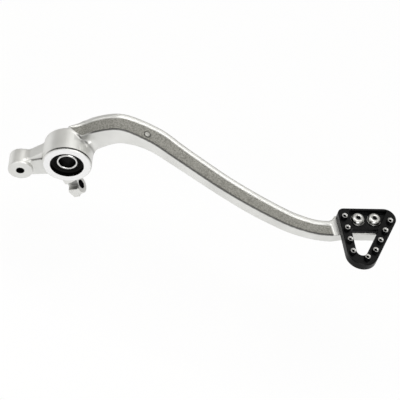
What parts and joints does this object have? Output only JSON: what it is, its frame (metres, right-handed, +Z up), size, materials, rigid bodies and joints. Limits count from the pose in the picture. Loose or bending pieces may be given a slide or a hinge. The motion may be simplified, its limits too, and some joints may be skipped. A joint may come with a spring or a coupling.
{
  "type": "motorcycle rear brake pedal lever",
  "caption": "Forged motorcycle rear brake pedal lever: needle-bearing pivot boss, curved channelled arm, pushrod ear and bolted black step plate with grip pins.",
  "frame": {"origin": "on the pivot axis, at the middle of the pivot boss's length", "axes": "+X forward towards the step plate, +Y along the pivot axis towards the vehicle frame, +Z up, square to the step plate's tread"},
  "size_m": [0.2708, 0.0814, 0.0727],
  "materials": {
    "forged_aluminium": "satin forged skin, darker as-forged channel floor, machined pads",
    "sleeve_steel": "ground bright steel",
    "bearing_steel": "bearing steel",
    "seal_rubber": "matte black nitrile rubber",
    "black_anodised": "black anodised, satin",
    "screw_steel": "zinc plated steel",
    "pin_steel": "black oxide steel"
  },
  "bodies": {
    "pivot": {"pivot_sleeve": "sleeve_steel"},
    "lever": {"lever_arm": "forged_aluminium", "bearing_shell": "bearing_steel", "seal_outer": "seal_rubber", "seal_inner": "seal_rubber", "step_plate": "black_anodised", "plate_screw_rear": "screw_steel", "plate_screw_front": "screw_steel", "plate_washer_rear": "screw_steel", "plate_washer_front": "screw_steel", "grip_pin_1": "pin_steel", "grip_pin_2": "pin_steel", "grip_pin_3": "pin_steel", "grip_pin_4": "pin_steel", "grip_pin_5": "pin_steel", "grip_pin_6": "pin_steel", "grip_pin_7": "pin_steel", "grip_pin_8": "pin_steel", "grip_pin_9": "pin_steel"},
    "bearing_train": {"bearing_cage": "bearing_steel", "needle_rollers": "bearing_steel"}
  },
  "joints": [
    {"name": "pedal_swing", "type": "hinge", "parent": "pivot", "child": "lever", "pos_m": [0, 0, 0], "axis": [0, 1, 0], "continuous": true},
    {"name": "cage_roll", "type": "hinge", "parent": "pivot", "child": "bearing_train", "pos_m": [0, 0, 0], "axis": [0, 1, 0], "continuous": true}
  ],
  "couplings": [
    {"joint": "cage_roll", "follows": "pedal_swing", "ratio": 0.5588}
  ]
}
